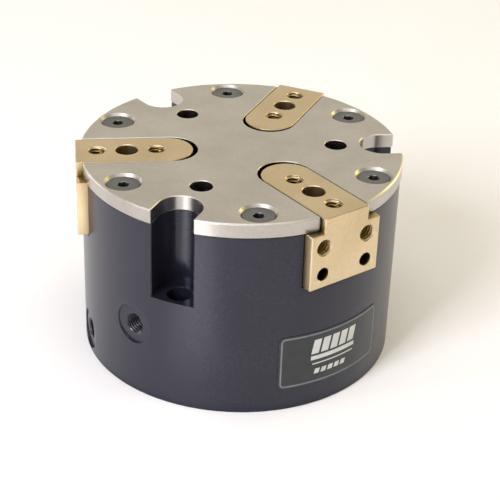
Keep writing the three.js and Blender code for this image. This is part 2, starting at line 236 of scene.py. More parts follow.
def thread_tool(minor, major, pitch, z0, z1, mouth=None, chamfer=0.0, n=48, rows=8, point=True):
    """A threaded solid along Z: the tap's envelope for a hole, or a screw's shank."""
    zs = list(np.arange(z0, z1 + 1e-6, pitch / rows))
    verts, rings = [], []
    if point:
        verts.append((0, 0, z0 - minor * 0.6))
    else:
        verts.append((0, 0, z0))
    rings.append([0])
    for z in zs:
        ring = []
        for i in range(n):
            a = 2 * math.pi * i / n
            t = (z / pitch - i / n) % 1.0
            tri = abs(2 * t - 1)
            h = min(max((tri - 0.16) / 0.68, 0), 1)
            r = minor + (major - minor) * h
            if mouth is not None:
                flare = minor + chamfer + (z - mouth) if z > mouth - chamfer else 0
                r = max(r, flare)
            if point:
                r = min(r, minor + max(0.0, (z - z0)) * 0.8)
            else:
                r = min(r, minor + max(0.0, (z - z0)) * 0.8 + 0.0)
            ring.append(len(verts))
            verts.append((r * math.cos(a), r * math.sin(a), z))
        rings.append(ring)
    rings.append([len(verts)])
    verts.append((0, 0, zs[-1]))
    faces = []
    for a, b in zip(rings, rings[1:]):
        for i in range(n):
            j = (i + 1) % n
            if len(a) == 1:
                faces.append((a[0], b[i], b[j]))
            elif len(b) == 1:
                faces.append((a[i], a[j], b[0]))
            else:
                faces.append((a[i], a[j], b[j], b[i]))
    return mesh_object("tool", verts, faces)


def block(x0, x1, y0, y1, z0, z1, r=0.0, k=3):
    ob = mesh_object(
        "tool",
        [(x, y, z) for x in (x0, x1) for y in (y0, y1) for z in (z0, z1)],
        [(0, 1, 3, 2), (4, 6, 7, 5), (0, 4, 5, 1), (2, 3, 7, 6), (0, 2, 6, 4), (1, 5, 7, 3)],
    )
    if r:
        bm = bmesh.new()
        bm.from_mesh(ob.data)
        bmesh.ops.bevel(bm, geom=bm.edges[:], offset=r, segments=k, profile=0.5, affect="EDGES")
        bm.to_mesh(ob.data)
        bm.free()
    return ob


def place(ob, m):
    ob.data.transform(m)
    if m.determinant() < 0:
        ob.data.flip_normals()
    ob.data.update()
    return ob


def shift(ob, x=0, y=0, z=0):
    return place(ob, Matrix.Translation((x, y, z)))


def spin(ob, deg):
    return place(ob, Matrix.Rotation(math.radians(deg), 4, "Z"))


def polar(r, deg):
    return r * math.cos(math.radians(deg)), r * math.sin(math.radians(deg))


def outwards(ob):
    """Turns a tool made along +Z so that it runs along +X."""
    return place(ob, Matrix.Rotation(math.radians(90), 4, "Y"))


def copy_of(ob, name):
    c = bpy.data.objects.new(name, ob.data.copy())
    COLL.objects.link(c)
    return c


PIECES = []


def finished(ob, name, body, nodes, material, angle=14):
    """Millimetres to metres, smooth shading with sharp edges kept, material, body."""
    ob.name = name
    ob.data.name = name
    bm = bmesh.new()
    bm.from_mesh(ob.data)
    bmesh.ops.remove_doubles(bm, verts=bm.verts, dist=1e-4)
    bmesh.ops.dissolve_limit(bm, angle_limit=math.radians(0.05), verts=bm.verts, edges=bm.edges)
    bm.to_mesh(ob.data)
    bm.free()
    place(ob, Matrix.Scale(0.001, 4))
    ob.data.materials.clear()
    ob.data.materials.append(material)
    ob.data.shade_smooth()
    ob.data.set_sharp_from_angle(angle=math.radians(angle))
    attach(ob, body)
    if nodes:
        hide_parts(*nodes)
    PIECES.append(ob)
    return ob


# ------------------------------------------------------------------ materials
class Nodes:
    def __init__(self, name):
        self.mat = bpy.data.materials.new(name)
        self.mat.use_nodes = True
        self.t = self.mat.node_tree
        self.p = self.t.nodes["Principled BSDF"]
        self.obj = self.t.nodes.new("ShaderNodeTexCoord").outputs["Object"]

    def node(self, kind, **inputs):
        n = self.t.nodes.new(kind)
        for k, v in inputs.items():
            n.inputs[k.replace("_", " ")].default_value = v
        return n

    def link(self, a, b):
        self.t.links.new(a, b)

    def stretched(self, sx, sy, sz):
        m = self.t.nodes.new("ShaderNodeMapping")
        m.inputs["Scale"].default_value = (sx, sy, sz)
        self.link(self.obj, m.inputs["Vector"])
        return m.outputs["Vector"]

    def noise(self, vector, scale=1.0, detail=4.0, rough=0.55):
        n = self.t.nodes.new("ShaderNodeTexNoise")
        n.inputs["Scale"].default_value = scale
        n.inputs["Detail"].default_value = detail
        n.inputs["Roughness"].default_value = rough
        self.link(vector, n.inputs["Vector"])
        return n.outputs["Fac"]

    def ramp(self, fac, stops):
        r = self.t.nodes.new("ShaderNodeValToRGB")
        e = r.color_ramp.elements
        while len(e) < len(stops):
            e.new(0.5)
        for el, (p, c) in zip(e, stops):
            el.position = p
            el.color = (*c, 1) if len(c) == 3 else c
        self.link(fac, r.inputs["Fac"])
        return r.outputs["Color"]

    def mix(self, fac, a, b, blend="MIX"):
        m = self.t.nodes.new("ShaderNodeMix")
        m.data_type, m.blend_type = "RGBA", blend
        for s, v in ((m.inputs["Factor"], fac), (m.inputs[6], a), (m.inputs[7], b)):
            if hasattr(v, "is_output"):
                self.link(v, s)
            elif isinstance(v, (int, float)):
                s.default_value = v
            else:
                s.default_value = (*v, 1)
        return m.outputs[2]

    def maths(self, op, a, b=None, c=None):
        m = self.t.nodes.new("ShaderNodeMath")
        m.operation = op
        for i, v in enumerate((a, b, c)):
            if v is None:
                continue
            if hasattr(v, "is_output"):
                self.link(v, m.inputs[i])
            else:
                m.inputs[i].default_value = v
        return m.outputs[0]

    def bump(self, height, strength, distance, normal=None):
        b = self.t.nodes.new("ShaderNodeBump")
        b.inputs["Strength"].default_value = strength
        b.inputs["Distance"].default_value = distance
        self.link(height, b.inputs["Height"])
        if normal is not None:
            self.link(normal, b.inputs["Normal"])
        return b.outputs["Normal"]

    def painted_shade(self, distance):
        """Ambient occlusion that drives painted shade: 0 deep inside holes and gaps, 1 on open faces."""
        a = self.t.nodes.new("ShaderNodeAmbientOcclusion")
        a.samples = 8
        a.only_local = False
        a.inputs["Distance"].default_value = distance
        m = self.t.nodes.new("ShaderNodeMapRange")
        m.inputs["From Min"].default_value = 0.24
        m.inputs["From Max"].default_value = 0.94
        self.link(a.outputs["AO"], m.inputs["Value"])
        return m.outputs["Result"]

    def walls(self):
        """1 on upright walls, 0 on level faces."""
        n = self.t.nodes.new("ShaderNodeTexCoord").outputs["Normal"]
        sep = self.t.nodes.new("ShaderNodeSeparateXYZ")
        self.link(n, sep.inputs[0])
        m = self.t.nodes.new("ShaderNodeMapRange")
        m.inputs["From Min"].default_value = 0.6
        m.inputs["From Max"].default_value = 0.3
        self.link(self.maths("ABSOLUTE", sep.outputs["Z"]), m.inputs["Value"])
        return m.outputs["Result"]

    def within(self, radius, above):
        """1 nearer to the part's axis than the radius and above a height, 0 elsewhere."""
        flat = self.t.nodes.new("ShaderNodeVectorMath")
        flat.operation = "MULTIPLY"
        self.link(self.obj, flat.inputs[0])
        flat.inputs[1].default_value = (1, 1, 0)
        length = self.t.nodes.new("ShaderNodeVectorMath")
        length.operation = "LENGTH"
        self.link(flat.outputs["Vector"], length.inputs[0])
        m = self.t.nodes.new("ShaderNodeMapRange")
        m.inputs["From Min"].default_value = radius
        m.inputs["From Max"].default_value = radius - 0.0002
        self.link(length.outputs["Value"], m.inputs["Value"])
        sep = self.t.nodes.new("ShaderNodeSeparateXYZ")
        self.link(self.obj, sep.inputs[0])
        return self.maths("MULTIPLY", m.outputs["Result"], self.maths("GREATER_THAN", sep.outputs["Z"], above))

    def edge(self, radius=0.0003):
        """1 on corners and 0 on open faces: where the rounded normal leaves the true one."""
        b = self.t.nodes.new("ShaderNodeBevel")
        b.samples = 4
        b.inputs["Radius"].default_value = radius
        g = self.t.nodes.new("ShaderNodeNewGeometry")
        d = self.t.nodes.new("ShaderNodeVectorMath")
        d.operation = "DOT_PRODUCT"
        self.link(b.outputs["Normal"], d.inputs[0])
        self.link(g.outputs["True Normal"], d.inputs[1])
        m = self.t.nodes.new("ShaderNodeMapRange")
        m.inputs["From Min"].default_value = 0.995
        m.inputs["From Max"].default_value = 0.90
        self.link(d.outputs["Value"], m.inputs["Value"])
        return m.outputs["Result"]


def metal(name, dark, light, rough, spread=0.08, lines=(1, 1, 1), line_bump=0.15, metallic=1.0, grain=0.06, edge=None, specular=0.5, coat=0.0, painted_shade=None, depth=0.006, tint=None, bored_gloss_and_shade=None, inside=None, dull=None):
    """A machined surface: colour drift, fine tool lines across one direction, grain, paler edges."""
    s = Nodes(name)
    drift = s.noise(s.obj, 55, 5, 0.6)
    fine = s.noise(s.obj, 900, 3, 0.6)
    mottled = s.mix(0.35, drift, fine)
    col = s.ramp(mottled, [(0.35, dark), (0.65, light)])
    # painted shade: upright walls are darkened by up to 16 percent against level faces
    if bored_gloss_and_shade and not inside:
        col = s.mix(s.maths("MULTIPLY", s.walls(), 0.16), col, (0, 0, 0))
    if edge:
        col = s.mix(s.maths("MULTIPLY", s.edge(), 0.8), col, edge)
    if painted_shade:  # painted shade: ambient occlusion darkens the colour in holes and gaps
        col = s.mix(s.painted_shade(depth), painted_shade, col)
    if tint:
        s.p.inputs["Specular Tint"].default_value = (*tint, 1)
    s.link(col, s.p.inputs["Base Color"])
    tool = s.noise(s.stretched(*lines), 1.0, 3, 0.65)
    r = s.maths("MULTIPLY_ADD", s.mix(0.5, drift, tool), 2 * spread, rough - spread)
    if bored_gloss_and_shade:  # a cutter leaves walls smoother than the ground or blasted outside
        share = s.within(*inside) if inside else s.walls()
        r = s.maths("MULTIPLY", r, s.maths("MULTIPLY_ADD", share, bored_gloss_and_shade / rough - 1, 1.0))
    s.link(r, s.p.inputs["Roughness"])
    s.p.inputs["Metallic"].default_value = metallic
    s.p.inputs["Specular IOR Level"].default_value = specular
    if dull:  # painted shade: ambient occlusion takes the gloss off threads and small recesses
        s.link(s.maths("MULTIPLY_ADD", s.painted_shade(dull), 0.75 * specular, 0.25 * specular), s.p.inputs["Specular IOR Level"])
    if coat:
        s.p.inputs["Coat Weight"].default_value = coat
        s.p.inputs["Coat Roughness"].default_value = 0.25
    n = s.bump(tool, line_bump, 0.00002)
    n = s.bump(s.noise(s.obj, 2600, 2, 0.5), grain, 0.00002, n)
    s.link(n, s.p.inputs["Normal"])
    return s.mat


# the dull distance below dims the gloss in the housing's holes as painted shade
anodised = metal("black_anodised", (0.0092, 0.0092, 0.0165), (0.0138, 0.0138, 0.0230), 0.27, 0.015, (30, 30, 5200), 0.02, metallic=0.0, grain=0.05, edge=(0.05, 0.048, 0.056), specular=0.50, tint=(0.88, 0.90, 1.0), bored_gloss_and_shade=0.18, inside=(0.0561, 0.040), dull=0.004)
# the recess colours in the next three materials are painted shade for holes and gaps
ground = metal("ground_cover", (0.515, 0.482, 0.445), (0.635, 0.602, 0.565), 0.40, 0.06, (60, 3800, 60), 0.10, grain=0.05, edge=(0.74, 0.70, 0.62), painted_shade=(0.030, 0.024, 0.020), bored_gloss_and_shade=0.24)
coating = metal("gold_coating", (0.60, 0.47, 0.285), (0.72, 0.585, 0.39), 0.36, 0.06, (60, 60, 3600), 0.10, grain=0.05, edge=(0.86, 0.74, 0.5), painted_shade=(0.135, 0.082, 0.012), depth=0.007)
oxide = metal("black_oxide", (0.125, 0.129, 0.133), (0.215, 0.220, 0.225), 0.38, 0.08, (900, 900, 900), 0.08, metallic=0.9, grain=0.08, edge=(0.30, 0.29, 0.27), painted_shade=(0.012, 0.012, 0.012), depth=0.003)
hard_steel = metal("hard_steel", (0.42, 0.41, 0.40), (0.56, 0.55, 0.53), 0.26, 0.06, (40, 40, 4200), 0.10, grain=0.03, edge=(0.72, 0.71, 0.69))
spring_steel = metal("spring_steel", (0.07, 0.07, 0.075), (0.13, 0.13, 0.135), 0.42, 0.08, (700, 700, 700), 0.06, metallic=0.9, edge=(0.3, 0.3, 0.3))
alloy = metal("turned_alloy", (0.52, 0.53, 0.54), (0.66, 0.665, 0.67), 0.32, 0.06, (40, 40, 3600), 0.14, grain=0.04, edge=(0.8, 0.8, 0.8))
bronze = metal("bearing_bronze", (0.42, 0.27, 0.11), (0.56, 0.38, 0.18), 0.34, 0.07, (40, 40, 3600), 0.12, grain=0.04, edge=(0.7, 0.52, 0.3))


def rubber_material():
    s = Nodes("nitrile_rubber")
    s.link(s.ramp(s.noise(s.obj, 300, 4, 0.6), [(0.3, (0.012, 0.012, 0.012)), (0.7, (0.030, 0.030, 0.031))]), s.p.inputs["Base Color"])
    s.link(s.maths("MULTIPLY_ADD", s.noise(s.obj, 500, 3, 0.5), 0.2, 0.5), s.p.inputs["Roughness"])
    s.link(s.bump(s.noise(s.obj, 2200, 3, 0.6), 0.25, 0.00003), s.p.inputs["Normal"])
    return s.mat


def foil_material(name, dark, light, rough):
    s = Nodes(name)
    s.link(s.ramp(s.noise(s.obj, 240, 4, 0.55), [(0.3, dark), (0.7, light)]), s.p.inputs["Base Color"])
    s.link(s.maths("MULTIPLY_ADD", s.noise(s.obj, 700, 3, 0.5), 0.16, rough - 0.08), s.p.inputs["Roughness"])
    s.link(s.bump(s.noise(s.obj, 3000, 2, 0.5), 0.12, 0.00002), s.p.inputs["Normal"])
    return s.mat


rubber = rubber_material()
foil = foil_material("label_foil", (0.0130, 0.0158, 0.0190), (0.0190, 0.0225, 0.0262), 0.31)
ink = foil_material("label_ink", (0.50, 0.51, 0.49), (0.61, 0.62, 0.59), 0.45)
pale_line = foil_material("label_line", (0.128, 0.148, 0.156), (0.172, 0.195, 0.205), 0.42)

# ------------------------------------------------------------------- housing


def make_housing():
    m = lathe(
        "housing",
        [(0, 0), (BODY_R, 0), (BODY_R, BODY_H), (0, BODY_H)],
        320,
    )
    drop(m)
    prof = [(0, 0), (BODY_R - 0.36, 0), (BODY_R - 0.13, 0.1), (BODY_R - 0.03, 0.22), (BODY_R, 0.4)]
    prof += [(BODY_R, BODY_H - 0.62), (BODY_R - 0.12, BODY_H - 0.30), (BODY_R - 0.75, BODY_H), (0, BODY_H)]
    m = lathe("housing", prof, 320)
    cut(m, lathe("tool", [(0, -1), (BORE_R, -1), (BORE_R, BORE_Z1), (0, BORE_Z1)], 144, 0.3))
    cut(m, lathe("tool", [(0, -1), (41.3, -1), (40.0, 0.3), (40.0, BORE_Z0), (0, BORE_Z0)], 144))
    cut(m, lathe("tool", [(39.0, 1.2), (41.6, 1.2), (41.6, 2.7), (39.0, 2.7)], 144, closed=True))
    cut(m, lathe("tool", [(0, BORE_Z1 - 1), (ROD_R + 0.3, BORE_Z1 - 1), (ROD_R + 0.3, PART_Z1 + 1), (0, PART_Z1 + 1)], 96))
    cut(m, lathe("tool", [(12.0, 33.4), (16.0, 33.4), (16.0, 37.0), (12.0, 37.0)], 96, closed=True))
    cut(m, lathe("tool", [(0, 37.5), (14.4, 37.5), (14.4, PART_Z1 + 1), (0, PART_Z1 + 1)], 96))
    cut(m, lathe("tool", [(0, PART_Z1), (CAVITY_R, PART_Z1), (CAVITY_R, BODY_H + 1), (0, BODY_H + 1)], 144, 0.5))
    for az in JAW_AZ:
        cut(m, spin(block(0, 70, -CHANNEL_HALF, CHANNEL_HALF, CHANNEL_Z, BODY_H + 1), az))
        cut(m, spin(block(POCKET_R, 70, -CHANNEL_HALF, CHANNEL_HALF, POCKET_Z, BODY_H + 1), az))
        cut(m, spin(block(0, 34, -8.6, 8.6, 45.4, CHANNEL_Z + 0.5), az))
        for s in (-1, 1):  # broken edge down the sides of the guide
            e = block(-0.32, 0.32, -0.32, 0.32, POCKET_Z, BODY_H + 1)
            place(e, Matrix.Rotation(math.radians(45), 4, "Z"))
            r = math.sqrt(BODY_R**2 - CHANNEL_HALF**2)
            cut(m, spin(shift(e, r + 0.12, s * (CHANNEL_HALF + 0.12), 0), az))
    for az in NOTCH_AZ:
        cut(m, spin(slot_tool(NOTCH_HALF, NOTCH_R - NOTCH_HALF, NOTCH_Z, BODY_H + 1, 0.15, BODY_H), az))
        x, y = polar(NOTCH_R, az)
        cut(m, shift(hole_tool(MOUNT_HOLE, -1, NOTCH_Z + 1, NOTCH_Z, 0.07, 0.0, 0.4), x, y))
        x, y = polar(ACC_R, az)
        cut(m, shift(hole_tool(ACC_HOLE, 57.4, BODY_H + 1, point=True), x, y))
        for s in (-1, 1):  # broken edge where the notch meets the outside
            e = block(-0.38, 0.38, -0.38, 0.38, NOTCH_Z - 0.2, BODY_H + 1)
            place(e, Matrix.Rotation(math.radians(45), 4, "Z"))
            r = math.sqrt(BODY_R**2 - NOTCH_HALF**2)
            cut(m, spin(shift(e, r + 0.12, s * (NOTCH_HALF + 0.10), 0), az))
    for az in SCREW_AZ:
        x, y = polar(SCREW_R, az)
        cut(m, shift(hole_tool(3.2, 56.4, BODY_H + 1, BODY_H, 0.3, point=True), x, y))
    for az in (0, 180):
        x, y = polar(40, az)
        cut(m, shift(hole_tool(2.6, 61.6, BODY_H + 1), x, y))
        x, y = polar(NOTCH_R, az)
        cut(m, shift(lathe("tool", [(0, -1), (4.2, -1), (3.0, 0.2), (3.0, 8.0), (0, 9.6)], 64), x, y))
    for i, az in enumerate(PORT_AZ):
        z = PORT_Z[i]
        seat = outwards(lathe("tool", [(0, PORT_SEAT), (PORT_FACE, PORT_SEAT), (PORT_FACE, 70), (0, 70)], 96, 0.10))
        cut(m, spin(shift(seat, 0, 0, z), az))
        t = thread_tool(3.42, 3.98, 1.06, PORT_END, 56.6, PORT_SEAT, 0.55, n=64, rows=8)
        cut(m, spin(shift(outwards(t), 0, 0, z), az))
        z_end = BORE_Z1 - 1.9 if i == 0 else BORE_Z0 + 2.4
        a, b = Vector((PORT_END + 1.5, 0, z + 0.8)), Vector((BORE_R - 1.5, 0, z_end))
        d = b - a
        p = lathe("tool", [(0, 0), (1.5, 0), (1.5, d.length), (0, d.length)])
        place(p, Matrix.Translation(a) @ d.to_track_quat("Z", "Y").to_matrix().to_4x4())
        cut(m, spin(p, az))
    return m


finished(make_housing(), "housing_body", "housing", ["housing"], anodised, 9)


# --------------------------------------------------------------- cover plate
def make_cover():
    prof = [(0, BODY_H), (PLATE_R - 0.25, BODY_H), (PLATE_R - 0.07, BODY_H + 0.07), (PLATE_R, BODY_H + 0.25)]
    prof += [(PLATE_R, TOP - 0.52), (PLATE_R - 0.05, TOP - 0.44), (PLATE_R - 0.44, TOP - 0.05), (PLATE_R - 0.52, TOP), (0, TOP)]
    m = lathe("cover", prof, 360)
    for az in JAW_AZ:
        cut(m, spin(slot_tool(SLOT_HALF, SLOT_IN, BODY_H - 1, TOP + 1, 0.22, TOP, (BODY_H, 0.2)), az))
    for az in NOTCH_AZ:
        cut(m, spin(slot_tool(NOTCH_HALF, NOTCH_R - NOTCH_HALF, BODY_H - 1, TOP + 1, 0.28, TOP, (BODY_H, 0.15)), az))
        x, y = polar(ACC_R, az)
        cut(m, shift(hole_tool(ACC_HOLE, BODY_H - 1, TOP + 1, TOP, 0.22), x, y))
    for az in NOTCH_AZ + JAW_AZ:  # broken corners at the rim
        half = NOTCH_HALF if az in NOTCH_AZ else SLOT_HALF
        for s in (-1, 1):
            e = block(-0.36, 0.36, -0.36, 0.36, BODY_H - 1, TOP + 1)
            place(e, Matrix.Rotation(math.radians(45), 4, "Z"))
            r = math.sqrt(PLATE_R**2 - half**2)
            cut(m, spin(shift(e, r + 0.10, s * (half + 0.10), 0), az))
    depth = (CSK_R - 3.3) / CSK
    for az in SCREW_AZ:
        x, y = polar(SCREW_R, az)
        t = lathe(
            "tool",
            [(0, BODY_H - 1), (3.3, BODY_H - 1), (3.3, TOP - depth), (CSK_R, TOP), (CSK_R + CSK, TOP + 1), (0, TOP + 1)],
            96,
        )
        cut(m, shift(t, x, y))
    for az in (0, 180):
        x, y = polar(40, az)
        cut(m, shift(hole_tool(2.6, BODY_H - 1, 72.6), x, y))
    return m


finished(make_cover(), "cover_disc", "housing", ["cover_plate"], ground, 9)

# ---------------------------------------------------------------------- jaws
ct, st = math.cos(math.radians(WEDGE_ANGLE)), math.sin(math.radians(WEDGE_ANGLE))
INCLINE = Matrix(((ct, 0, -st, WEDGE_FACE), (0, 1, 0, 0), (st, 0, ct, WEDGE_Z1), (0, 0, 0, 1)))


def tee(neck_half, head_half, face, neck_end, head_end):
    pts = [
        (face, -neck_half), (face, neck_half), (neck_end, neck_half), (neck_end, head_half),
        (head_end, head_half), (head_end, -head_half), (neck_end, -head_half), (neck_end, -neck_half),
    ]
    return place(loft("tool", [(-60, pts), (60, pts)]), INCLINE)


def make_jaw():
    e = 0.35  # edge break
    rib = [
        (BASE_Z1 - 1.2, 0.0), (TOP - e, 0.0), (TOP - e * 0.55, -e * 0.12), (TOP - e * 0.2, -e * 0.45), (TOP, -e),
    ]
    m = loft("jaw", [(z, slot_outline(RIB_HALF, RIB_IN, JAW_OUT + g, g, corner=0.45)) for z, g in rib])
    join(m, block(24, JAW_OUT - 1.5, -BASE_HALF, BASE_HALF, BASE_Z0, BASE_Z1, 0.25))
    join(m, block(JAW_OUT - FLANGE_T, JAW_OUT, -BASE_HALF, BASE_HALF, FLANGE_Z0, BASE_Z1, 0.45, 4))
    hook = block(0, 27, -8.2, 8.2, 46, BASE_Z1)
    cut(hook, place(block(-80, 0.1, -40, 40, -80, 80), INCLINE))
    tongue = tee(3.7, 6.3, 1.0, -2.7, -6.3)
    boolean(tongue, [block(0, 40, -20, 20, 46, 62.5)], "INTERSECT")
    join(hook, tongue)
    join(m, hook)
    for x in (TAP_IN, TAP_OUT):
        cut(m, shift(thread_tool(2.62, 3.17, 1.27, TOP - 13, TOP + 0.6, TOP, 0.62), x))
    cut(m, shift(hole_tool(LOCATE_HOLE, TOP - 9, TOP + 1, TOP, 0.25, n=96, point=True), LOCATE_R))
    for s in (-1, 1):
        t = thread_tool(2.62, 3.17, 1.27, JAW_OUT - 12, JAW_OUT + 0.6, JAW_OUT, 0.6)
        cut(m, shift(outwards(t), 0, s * FACE_Y, FACE_TAP_Z))
        t = hole_tool(FACE_PIN, JAW_OUT - FLANGE_T - 1, JAW_OUT + 1, JAW_OUT, 0.2)
        cut(m, shift(outwards(t), 0, s * FACE_Y, FACE_PIN_Z))
    return m


jaw_master = make_jaw()
for i, az in enumerate(JAW_AZ):
    j = spin(copy_of(jaw_master, "jaw"), az)
    finished(j, f"jaw_block_{i + 1}", f"jaw_{i + 1}", [f"jaw_{i + 1}"], coating)
drop(jaw_master)


# -------------------------------------------------------------------- screws
def hexagon(af, turn=0.0):
    return [polar(af / math.sqrt(3), 60 * i + turn) for i in range(6)]


def make_cover_screw():
    zt = TOP - 0.85
    neck = 2.95
    m = lathe(
        "screw",
        [(0, 66.6), (neck, 66.6), (neck, zt - (5.60 - neck) / CSK - 0.25), (5.60, zt - 0.30), (5.64, zt - 0.16), (5.50, zt), (0, zt)],
        128,
    )
    join(m, thread_tool(2.45, 3.08, 1.27, 58.5, 67.2, point=False))
    cut(m, loft("tool", [(zt - 2.4, hexagon(3.6, 15)), (zt + 1, hexagon(3.6, 15))]))
    cut(m, lathe("tool", [(0, zt - 3.2), (1.8, zt - 2.2), (1.8, zt - 0.3), (2.12, zt + 0.02), (2.6, zt + 0.5), (0, zt + 0.5)], 64))
    return m


screw = make_cover_screw()
for i, az in enumerate(SCREW_AZ):
    x, y = polar(SCREW_R, az)
    s = shift(spin(copy_of(screw, "screw"), 23 * i), x, y)
    finished(s, f"flat_screw_{i + 1}", "housing", [f"cover_screw_{i + 1}"], oxide)
drop(screw)

for i, az in enumerate((0, 180)):
    x, y = polar(40, az)
    p = lathe("pin", [(0, 62.0), (2.0, 62.0), (2.45, 62.6), (2.45, 71.6), (2.0, 72.2), (0, 72.2)], 64, 0.15)
    finished(shift(p, x, y), f"locating_pin_{i + 1}", "housing", [f"cover_dowel_{i + 1}"], hard_steel)

# ------------------------------------------------- end cap, ring and seals
cap = lathe(
    "cap",
    [
        (0, 0), (35.3, 0), (35.5, 0.2), (35.5, 2.8), (39.7, 2.8), (39.7, 4.2), (37.8, 4.2), (37.8, 6.6),
        (39.7, 6.6), (39.7, BORE_Z0 - 0.1), (0, BORE_Z0 - 0.1),
    ],
    192, 0.18,
)
for az in (0, 180):
    x, y = polar(24, az)
    cut(cap, shift(lathe("tool", [(0, -1), (3.4, -1), (2.1, 0.3), (2.1, 5.0), (0, 6.2)], 48), x, y))
finished(cap, "cylinder_cap", "housing", ["end_cap"], alloy)


def torus(name, radius, wire, z, n=160, k=20):
    return lathe(name, [(radius + wire * math.cos(2 * math.pi * i / k), z + wire * math.sin(2 * math.pi * i / k)) for i in range(k)], n, closed=True)


finished(torus("o", 38.85, 0.94, 5.4), "cap_seal", "housing", ["end_cap_o_ring"], rubber, 60)


def make_snap_ring():
    gap, steps = 8, 150
    out = [polar(41.3, gap + (360 - 2 * gap) * i / steps) for i in range(steps + 1)]
    out += [polar(36.1, 360 - gap), polar(36.1, 360 - gap - 7)]
    out += [polar(37.6, 360 - gap - 7.6 - (360 - 2 * gap - 15.2) * i / steps) for i in range(steps + 1)]
    out += [polar(36.1, gap + 7), polar(36.1, gap)]
    m = loft("snap", [(1.35, out), (2.55, out)])
    for s in (-1, 1):
        x, y = polar(38.0, s * (gap + 3.5))
        cut(m, shift(hole_tool(1.2, 0, 4, n=32), x, y))
    return m


finished(make_snap_ring(), "snap_ring", "housing", ["retaining_ring"], spring_steel)
finished(
    lathe("bush", [(12.65, 37.6), (14.2, 37.6), (14.2, 41.2), (12.65, 41.2)], 128, 0.2, closed=True),
    "guide_bush", "housing", ["rod_bushing"], bronze,
)
finished(
    lathe("seal", [(12.7, 33.6), (13.5, 33.6), (14.2, 34.6), (15.0, 33.6), (15.8, 33.6), (15.8, 36.8), (12.9, 36.8)], 128, 0.15, closed=True),
    "lip_seal", "housing", ["rod_seal"], rubber, 50,
)

# --------------------------------------------------------------------- drive
z0, z1, r = PISTON_Z0, PISTON_Z1, PISTON_R
piston = lathe(
    "piston",
    [
        (0, z0 + 8.3), (6.8, z0 + 8.3), (6.8, z0), (r - 1.6, z0), (r - 1.6, z0 + 1.2), (r, z0 + 1.2),
        (r, z0 + 2.2), (r - 3.0, z0 + 2.2), (r - 3.0, z0 + 5.4), (r, z0 + 5.4),
        (r, z0 + 6.6), (r - 1.9, z0 + 6.6), (r - 1.9, z0 + 9.6), (r, z0 + 9.6),
        (r, z1 - 1.2), (r - 1.6, z1 - 1.2), (r - 1.6, z1), (12.2, z1), (12.2, z1 - 1.5), (10.0, z1 - 1.5),
        (10.0, z1), (9.1, z1), (9.1, z1 - 3.0), (0, z1 - 3.0),
    ],
    192, 0.15,
)
cut(piston, lathe("tool", [(0, z0 + 4), (4.3, z0 + 4), (4.3, z1), (0, z1)], 64))
finished(piston, "piston_disc", "drive", ["piston"], alloy)
finished(
    lathe("ps", [(r - 2.7, z0 + 2.4), (r + 0.15, z0 + 2.4), (r + 0.15, z0 + 3.4), (r - 0.15, z0 + 3.8), (r + 0.15, z0 + 4.2), (r + 0.15, z0 + 5.2), (r - 2.7, z0 + 5.2)], 192, 0.15, closed=True),
    "piston_packing", "drive", ["piston_seal"], rubber, 50,
)
finished(
    lathe("pg", [(r - 1.7, z0 + 6.8), (r + 0.15, z0 + 6.8), (r + 0.15, z0 + 9.4), (r - 1.7, z0 + 9.4)], 192, 0.2, closed=True),
    "piston_guide", "drive", ["piston_guide_ring"], bronze,
)
finished(torus("ro", 11.1, 0.64, z1 - 0.72, 96, 16), "rod_static_seal", "drive", ["rod_o_ring"], rubber, 60)


def make_wedge():
    head = lathe("wedge", [(0, WEDGE_Z0), (WEDGE_R, WEDGE_Z0), (WEDGE_R, WEDGE_Z1), (0, WEDGE_Z1)], 160, 0.4)
    for az in JAW_AZ:
        cut(head, spin(place(block(0, 80, -60, 60, -80, 80), INCLINE), az))
    for az in JAW_AZ:
        cut(head, spin(tee(3.8, 6.4, 1.0, -2.6, -6.4), az))
    stem = lathe(
        "stem",
        [(0, z1 - 2.7), (8.9, z1 - 2.7), (8.9, z1 + 0.1), (ROD_R, z1 + 0.1), (ROD_R, WEDGE_Z0 + 1), (0, WEDGE_Z0 + 1)],
        128, 0.2,
    )
    join(head, stem)
    cut(head, lathe("tool", [(0, z1 - 4), (3.9, z1 - 4), (3.9, z1 + 20), (0, z1 + 22)], 64))
    return head


finished(make_wedge(), "wedge_hook", "drive", ["wedge_rod"], hard_steel)


def make_piston_screw():
    z = PISTON_Z0 + 0.3
    m = lathe("ps", [(0, z), (6.5, z), (6.5, z + 7.9), (0, z + 7.9)], 96, 0.35)
    join(m, thread_tool(3.2, 3.78, 1.25, z + 7.0, z + 26, point=False))
    cut(m, loft("tool", [(z - 1, hexagon(6.0)), (z + 4, hexagon(6.0))]))
    return m


finished(make_piston_screw(), "piston_bolt", "drive", ["piston_screw"], oxide)


# --------------------------------------------------------------------- label
def wrapped(name, flat_faces, r0, r1, mid_z, steps_done=True):
    """Bodies of constant thickness on the cylinder: each item is a closed outline [(s, t), ...] in mm, s round the front, t up."""
    verts, faces = [], []

    def point(s, t, r):
        a = math.radians(-90) + s / BODY_R
        return (r * math.cos(a), r * math.sin(a), mid_z + t)

    for kind, data in flat_faces:
        base = len(verts)
        if kind == "ring":
            outer, inner = data
            n = len(outer)
            for loop, rr in ((outer, r1), (inner, r1), (inner, r0), (outer, r0)):
                verts += [point(s, t, rr) for s, t in loop]
            for k in range(4):
                for i in range(n):
                    j = (i + 1) % n
                    k2 = (k + 1) % 4
                    faces.append((base + k * n + i, base + k * n + j, base + k2 * n + j, base + k2 * n + i))
        else:  # a grid patch between two edge curves
            low, high = data
            n = len(low)
            for loop, rr in ((low, r1), (high, r1), (high, r0), (low, r0)):
                verts += [point(s, t, rr) for s, t in loop]
            for k in range(4):
                for i in range(n - 1):
                    k2 = (k + 1) % 4
                    faces.append((base + k * n + i, base + k * n + i + 1, base + k2 * n + i + 1, base + k2 * n + i))
            faces.append((base, base + n, base + 2 * n, base + 3 * n))
            e = base + n - 1
            faces.append((e, e + 3 * n, e + 2 * n, e + n))
    return mesh_object(name, verts, faces)


